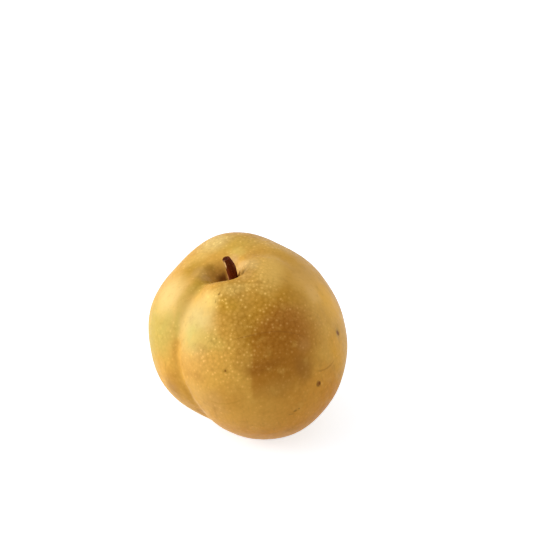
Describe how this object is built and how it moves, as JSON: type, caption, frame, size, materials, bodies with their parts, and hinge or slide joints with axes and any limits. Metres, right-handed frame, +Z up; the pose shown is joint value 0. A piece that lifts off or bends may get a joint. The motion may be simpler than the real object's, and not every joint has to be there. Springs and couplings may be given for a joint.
{
  "type": "asian pear",
  "caption": "Whole round golden-brown pear with a deep stem cavity, a suture groove and a short woody stem, resting on a small flat spot.",
  "frame": {"origin": "a point in the small flat spot that the fruit rests on, straight below the middle of the fruit and 2 mm from the middle of the spot", "axes": "+Z up, away from the surface it rests on; -Y towards the fuller side of the fruit; the stem leans to -Y and -X"},
  "size_m": [0.087, 0.09, 0.0888],
  "materials": {
    "skin": "satin",
    "stalk": "matte"
  },
  "bodies": {
    "root": {"fruit": "skin", "stem": "stalk"}
  },
  "joints": []
}
